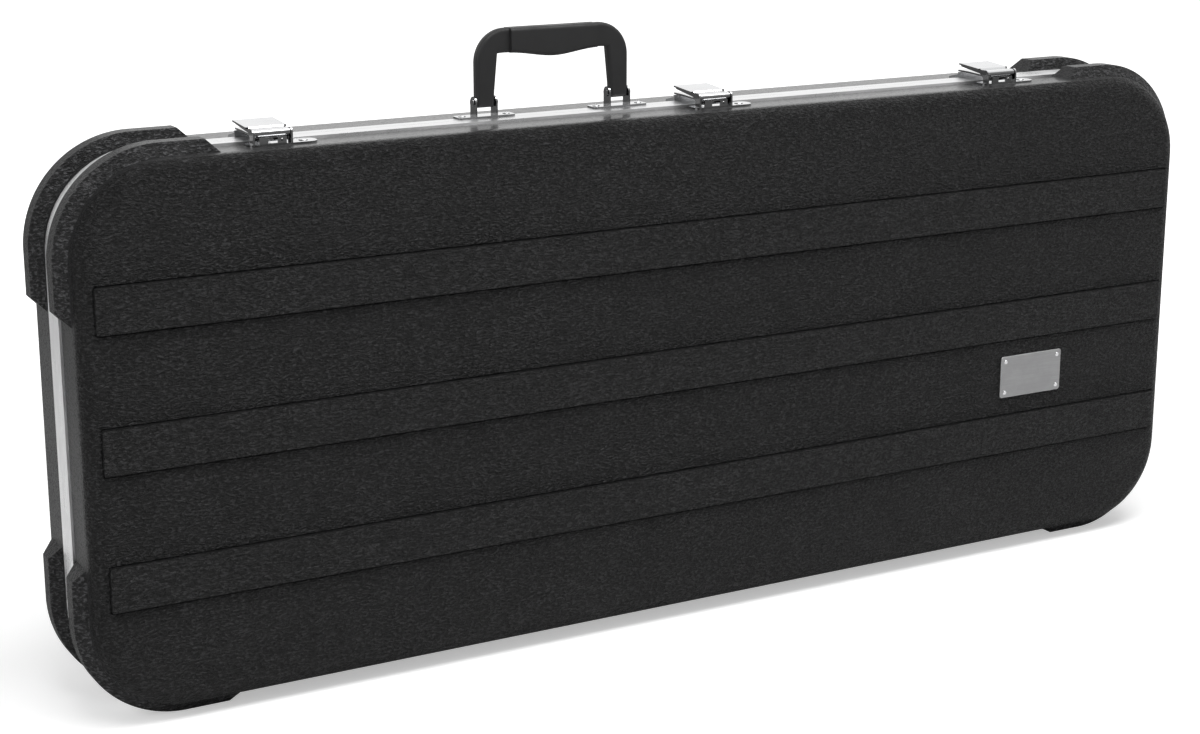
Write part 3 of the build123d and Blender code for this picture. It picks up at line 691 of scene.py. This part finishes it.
def swell(piece, glued, pressure, cap, frames=20):
    """Blows the cloth up, holds the glued corners, and caps how far any corner moves."""
    start = [corner.co.copy() for corner in piece.data.vertices]
    held = piece.vertex_groups.new(name="glued")
    held.add([i for i, place in enumerate(start) if glued(place)], 1.0, "REPLACE")
    cloth = piece.modifiers.new("cloth", "CLOTH")
    cloth.settings.quality = 4
    cloth.settings.use_pressure = True
    cloth.settings.uniform_pressure_force = pressure
    cloth.settings.effector_weights.gravity = 0.0
    cloth.settings.vertex_group_mass = "glued"
    cloth.point_cache.frame_start = 1
    cloth.point_cache.frame_end = frames
    for frame_number in range(1, frames + 1):
        bpy.context.scene.frame_set(frame_number)
    apply_modifiers(piece)
    for corner, place in zip(piece.data.vertices, start):
        move = corner.co - place
        if move.length > cap:
            corner.co = place + move * (cap / move.length)
    bpy.context.scene.frame_set(1)
    piece.vertex_groups.clear()


def dress_pad(piece, node, body):
    finer = piece.modifiers.new("finer", "SUBSURF")
    finer.levels = finer.render_levels = 1
    apply_modifiers(piece)
    piece.data.materials.append(finishes["plush_pile"])
    piece.data.shade_smooth()
    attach(piece, body)
    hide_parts(node)
    print(piece.name, len(piece.data.polygons), "faces")


# %% Lid pad, base pad and neck rest
lid_low, lid_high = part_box("lid_liner")
base_low, base_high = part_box("base_liner")
box_low, box_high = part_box("small_parts_box")
rest_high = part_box("neck_rest")[1]
SKIN = 2.5 * MM
BOX_ROOM = 6 * MM
PRESSURE = 4.0
SHRINK = 0.8 * MM


def rim_distance(place, low, high):
    """How far a place is from the nearest rim of a pad, seen from the front."""
    return min(place.x - low.x, high.x - place.x, place.z - low.z, high.z - place.z)


def lid_glued(place):
    """The back of the lid pad, and its rim."""
    return place.y < lid_low.y + SKIN or rim_distance(place, lid_low, lid_high) < SKIN


def base_glued(place):
    """The back and rim of the base pad, and the walls round the small-parts box."""
    by_box = (
        box_low.x - BOX_ROOM < place.x < box_high.x + BOX_ROOM
        and box_low.z - BOX_ROOM < place.z < box_high.z + BOX_ROOM
    )
    at_rim = rim_distance(place, base_low, base_high) < SKIN
    return place.y > base_high.y - SKIN or at_rim or by_box


def rest_glued(place):
    """The foot of the neck rest."""
    return place.y > rest_high.y - SKIN


for name, node, voxel, turns, glued, cap in (
    ("lid_plush", "lid_liner", 7 * MM, 2, lid_glued, 4 * MM),
    ("base_plush", "base_liner", 7 * MM, 3, base_glued, 3 * MM),
    ("neck_rest_plush", "neck_rest", 4 * MM, 4, rest_glued, 2 * MM),
):
    pad = even_copy(name, node, voxel, turns, SHRINK)
    swell(pad, glued, PRESSURE, cap)
    dress_pad(pad, node, node_body[node])

# %% [markdown]
# ## Rivets and screws
# The pressings are held by domed rivets, and the handle feet by cross-head screws.
# They repeat, so each kind is one small tree of Geometry Nodes: it puts the same
# head on every point of a mesh that holds nothing but the places of the fixings.


# %% Fixing helpers
def points_object(name, places):
    """A mesh of bare points, in metres."""
    mesh = bpy.data.meshes.new(name)
    mesh.from_pydata([tuple(place) for place in places], [], [])
    holder = bpy.data.objects.new(name, mesh)
    bpy.context.scene.collection.objects.link(holder)
    return holder


def geometry_tree(name, sockets):
    """A Geometry Nodes tree with named inputs. Returns it with its ends."""
    tree = bpy.data.node_groups.new(name, "GeometryNodeTree")
    tree.interface.new_socket("Geometry", in_out="INPUT", socket_type="NodeSocketGeometry")
    tree.interface.new_socket("Geometry", in_out="OUTPUT", socket_type="NodeSocketGeometry")
    for label, kind in sockets.items():
        tree.interface.new_socket(label, in_out="INPUT", socket_type="NodeSocket" + kind)
    return tree, tree.nodes.new("NodeGroupInput"), tree.nodes.new("NodeGroupOutput")


def instance_ending(tree, enter, leave, head):
    """Puts the head on every point, facing outwards, and makes it plain mesh."""
    points = tree.nodes.new("GeometryNodeMeshToPoints")
    align = tree.nodes.new("FunctionNodeAlignRotationToVector")
    align.axis = "Z"
    place = tree.nodes.new("GeometryNodeInstanceOnPoints")
    real = tree.nodes.new("GeometryNodeRealizeInstances")
    finish = tree.nodes.new("GeometryNodeSetMaterial")
    tree.links.new(enter.outputs["Geometry"], points.inputs["Mesh"])
    tree.links.new(points.outputs[0], place.inputs["Points"])
    tree.links.new(head, place.inputs["Instance"])
    tree.links.new(enter.outputs["Facing"], align.inputs["Vector"])
    tree.links.new(align.outputs[0], place.inputs["Rotation"])
    tree.links.new(place.outputs[0], real.inputs[0])
    tree.links.new(real.outputs[0], finish.inputs["Geometry"])
    tree.links.new(enter.outputs["Finish"], finish.inputs["Material"])
    tree.links.new(finish.outputs[0], leave.inputs[0])


def size_vector(tree, x, y, z):
    """Joins three values, sockets or numbers, to a vector."""
    node = tree.nodes.new("ShaderNodeCombineXYZ")
    for index, value in enumerate((x, y, z)):
        if isinstance(value, (int, float)):
            node.inputs[index].default_value = value
        else:
            tree.links.new(value, node.inputs[index])
    return node.outputs[0]


def grow(holder, tree, values):
    """Runs a tree on an object, keeps the result as plain mesh, removes the modifier."""
    modifier = holder.modifiers.new(tree.name, "NODES")
    modifier.node_group = tree
    for item in tree.interface.items_tree:
        if item.item_type == "SOCKET" and item.in_out == "INPUT" and item.name in values:
            modifier[item.identifier] = values[item.name]
    graph = bpy.context.evaluated_depsgraph_get()
    mesh = bpy.data.meshes.new_from_object(holder.evaluated_get(graph))
    holder.modifiers.clear()
    holder.data = mesh
    holder.data.shade_smooth()
    return holder


# %% Domed rivet
FIXING_SOCKETS = {"Radius": "Float", "Rise": "Float", "Facing": "Vector", "Finish": "Material"}


def make_rivet_tree():
    """A low dome: a flattened ball, half sunk in the sheet."""
    tree, enter, leave = geometry_tree("domed_rivets", FIXING_SOCKETS)
    ball = tree.nodes.new("GeometryNodeMeshUVSphere")
    ball.inputs["Segments"].default_value = 20
    ball.inputs["Rings"].default_value = 12
    ball.inputs["Radius"].default_value = 1.0
    flat = tree.nodes.new("GeometryNodeTransform")
    tree.links.new(ball.outputs["Mesh"], flat.inputs["Geometry"])
    size = size_vector(
        tree, enter.outputs["Radius"], enter.outputs["Radius"], enter.outputs["Rise"]
    )
    tree.links.new(size, flat.inputs["Scale"])
    instance_ending(tree, enter, leave, flat.outputs["Geometry"])
    return tree


rivet_tree = make_rivet_tree()


# %% Cross-head screw
def make_screw_tree():
    """A low dome with a cross cut in its top."""
    tree, enter, leave = geometry_tree("cross_screws", FIXING_SOCKETS)
    ball = tree.nodes.new("GeometryNodeMeshUVSphere")
    ball.inputs["Segments"].default_value = 24
    ball.inputs["Rings"].default_value = 14
    ball.inputs["Radius"].default_value = 1.0
    cut = tree.nodes.new("GeometryNodeMeshBoolean")
    cut.operation = "DIFFERENCE"
    tree.links.new(ball.outputs["Mesh"], cut.inputs["Mesh 1"])
    for width, length in ((0.2, 1.1), (1.1, 0.2)):
        bar = tree.nodes.new("GeometryNodeMeshCube")
        bar.inputs["Size"].default_value = (width, length, 1.0)
        lift = tree.nodes.new("GeometryNodeTransform")
        lift.inputs["Translation"].default_value = (0.0, 0.0, 1.1)
        tree.links.new(bar.outputs["Mesh"], lift.inputs["Geometry"])
        tree.links.new(lift.outputs["Geometry"], cut.inputs["Mesh 2"])
    flat = tree.nodes.new("GeometryNodeTransform")
    tree.links.new(cut.outputs["Mesh"], flat.inputs["Geometry"])
    size = size_vector(
        tree, enter.outputs["Radius"], enter.outputs["Radius"], enter.outputs["Rise"]
    )
    tree.links.new(size, flat.inputs["Scale"])
    instance_ending(tree, enter, leave, flat.outputs["Geometry"])
    return tree


screw_tree = make_screw_tree()
print("trees:", rivet_tree.name, screw_tree.name)


# %% Fixings on their bodies
SIDES = ("left", "middle", "right")
UP, DOWN, OUT = (0.0, 0.0, 1.0), (0.0, 0.0, -1.0), (0.0, -1.0, 0.0)


def fixings(name, tree, places, radius, rise, facing, finish, body):
    """One piece that holds all the fixings of a kind that ride on one body."""
    piece = grow(
        points_object(name, places), tree,
        {"Radius": radius, "Rise": rise, "Facing": facing, "Finish": finishes[finish]},
    )
    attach(piece, body)
    print(name, len(places), "fixings,", len(piece.data.polygons), "faces")
    return piece


# %% [markdown]
# Every place is measured from the box of the pressing that it holds, so the rivets
# follow the solids. The distances below are in from the corner of that box.

# %% Latch and keeper rivets
BRACKET_CENTRE = 19 * MM
TAB_X, TAB_Y, TAB_Z = 27.5 * MM, 8.5 * MM, 1.4 * MM
WALL_X, WALL_Z = 7.2 * MM, 4.4 * MM
KEEPER_STEP, KEEPER_Y, KEEPER_Z = 8.5 * MM, 8.6 * MM, 1.5 * MM

tab_rivets, wall_rivets, keeper_rivets = [], [], []
for side in SIDES:
    low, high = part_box("latch_bracket_" + side)
    centre = low.x + BRACKET_CENTRE
    tab_rivets.append((centre + TAB_X, low.y + TAB_Y, low.z + TAB_Z))
    wall_rivets.append((centre + WALL_X, low.y, low.z + WALL_Z))
    low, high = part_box("latch_keeper_" + side)
    for step in (-KEEPER_STEP, KEEPER_STEP):
        keeper_rivets.append(((low.x + high.x) / 2 + step, low.y + KEEPER_Y, low.z + KEEPER_Z))
fixings(
    "latch_tab_rivets", rivet_tree, tab_rivets, 3.7 * MM, 1.3 * MM, UP,
    "latch_mirror", "lid",
)
fixings(
    "latch_wall_rivets", rivet_tree, wall_rivets, 1.1 * MM, 0.5 * MM, OUT,
    "latch_mirror", "lid",
)
fixings(
    "keeper_rivets", rivet_tree, keeper_rivets, 2.2 * MM, 0.9 * MM, UP,
    "keeper_plated", "base",
)

# %% Handle screws
SCREW_INSET, SCREW_Z = 5.5 * MM, 3.6 * MM

foot_screws = []
for side in ("left", "right"):
    low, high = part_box("handle_foot_" + side)
    for x in (low.x + SCREW_INSET, high.x - SCREW_INSET):
        foot_screws.append((x, (low.y + high.y) / 2, low.z + SCREW_Z))
fixings(
    "foot_screws", screw_tree, foot_screws, 3.1 * MM, 1.1 * MM, UP,
    "foot_mirror", "base",
)

# %% Hinge rivets
HINGE_STEP = 22 * MM
LID_LEAF_INSET, BASE_LEAF_INSET, LEAF_THICKNESS = 3.4 * MM, 3.2 * MM, 1.2 * MM

for half in ("lid", "base"):
    heads = []
    for side in SIDES:
        low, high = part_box(f"hinge_{half}_leaf_{side}")
        y = low.y + LID_LEAF_INSET if half == "lid" else high.y - BASE_LEAF_INSET
        for step in (-HINGE_STEP, 0.0, HINGE_STEP):
            heads.append(((low.x + high.x) / 2 + step, y, high.z - LEAF_THICKNESS))
    fixings(
        f"hinge_rivets_{half}", rivet_tree, heads, 1.9 * MM, 0.7 * MM, DOWN,
        "hinge_plated", half,
    )
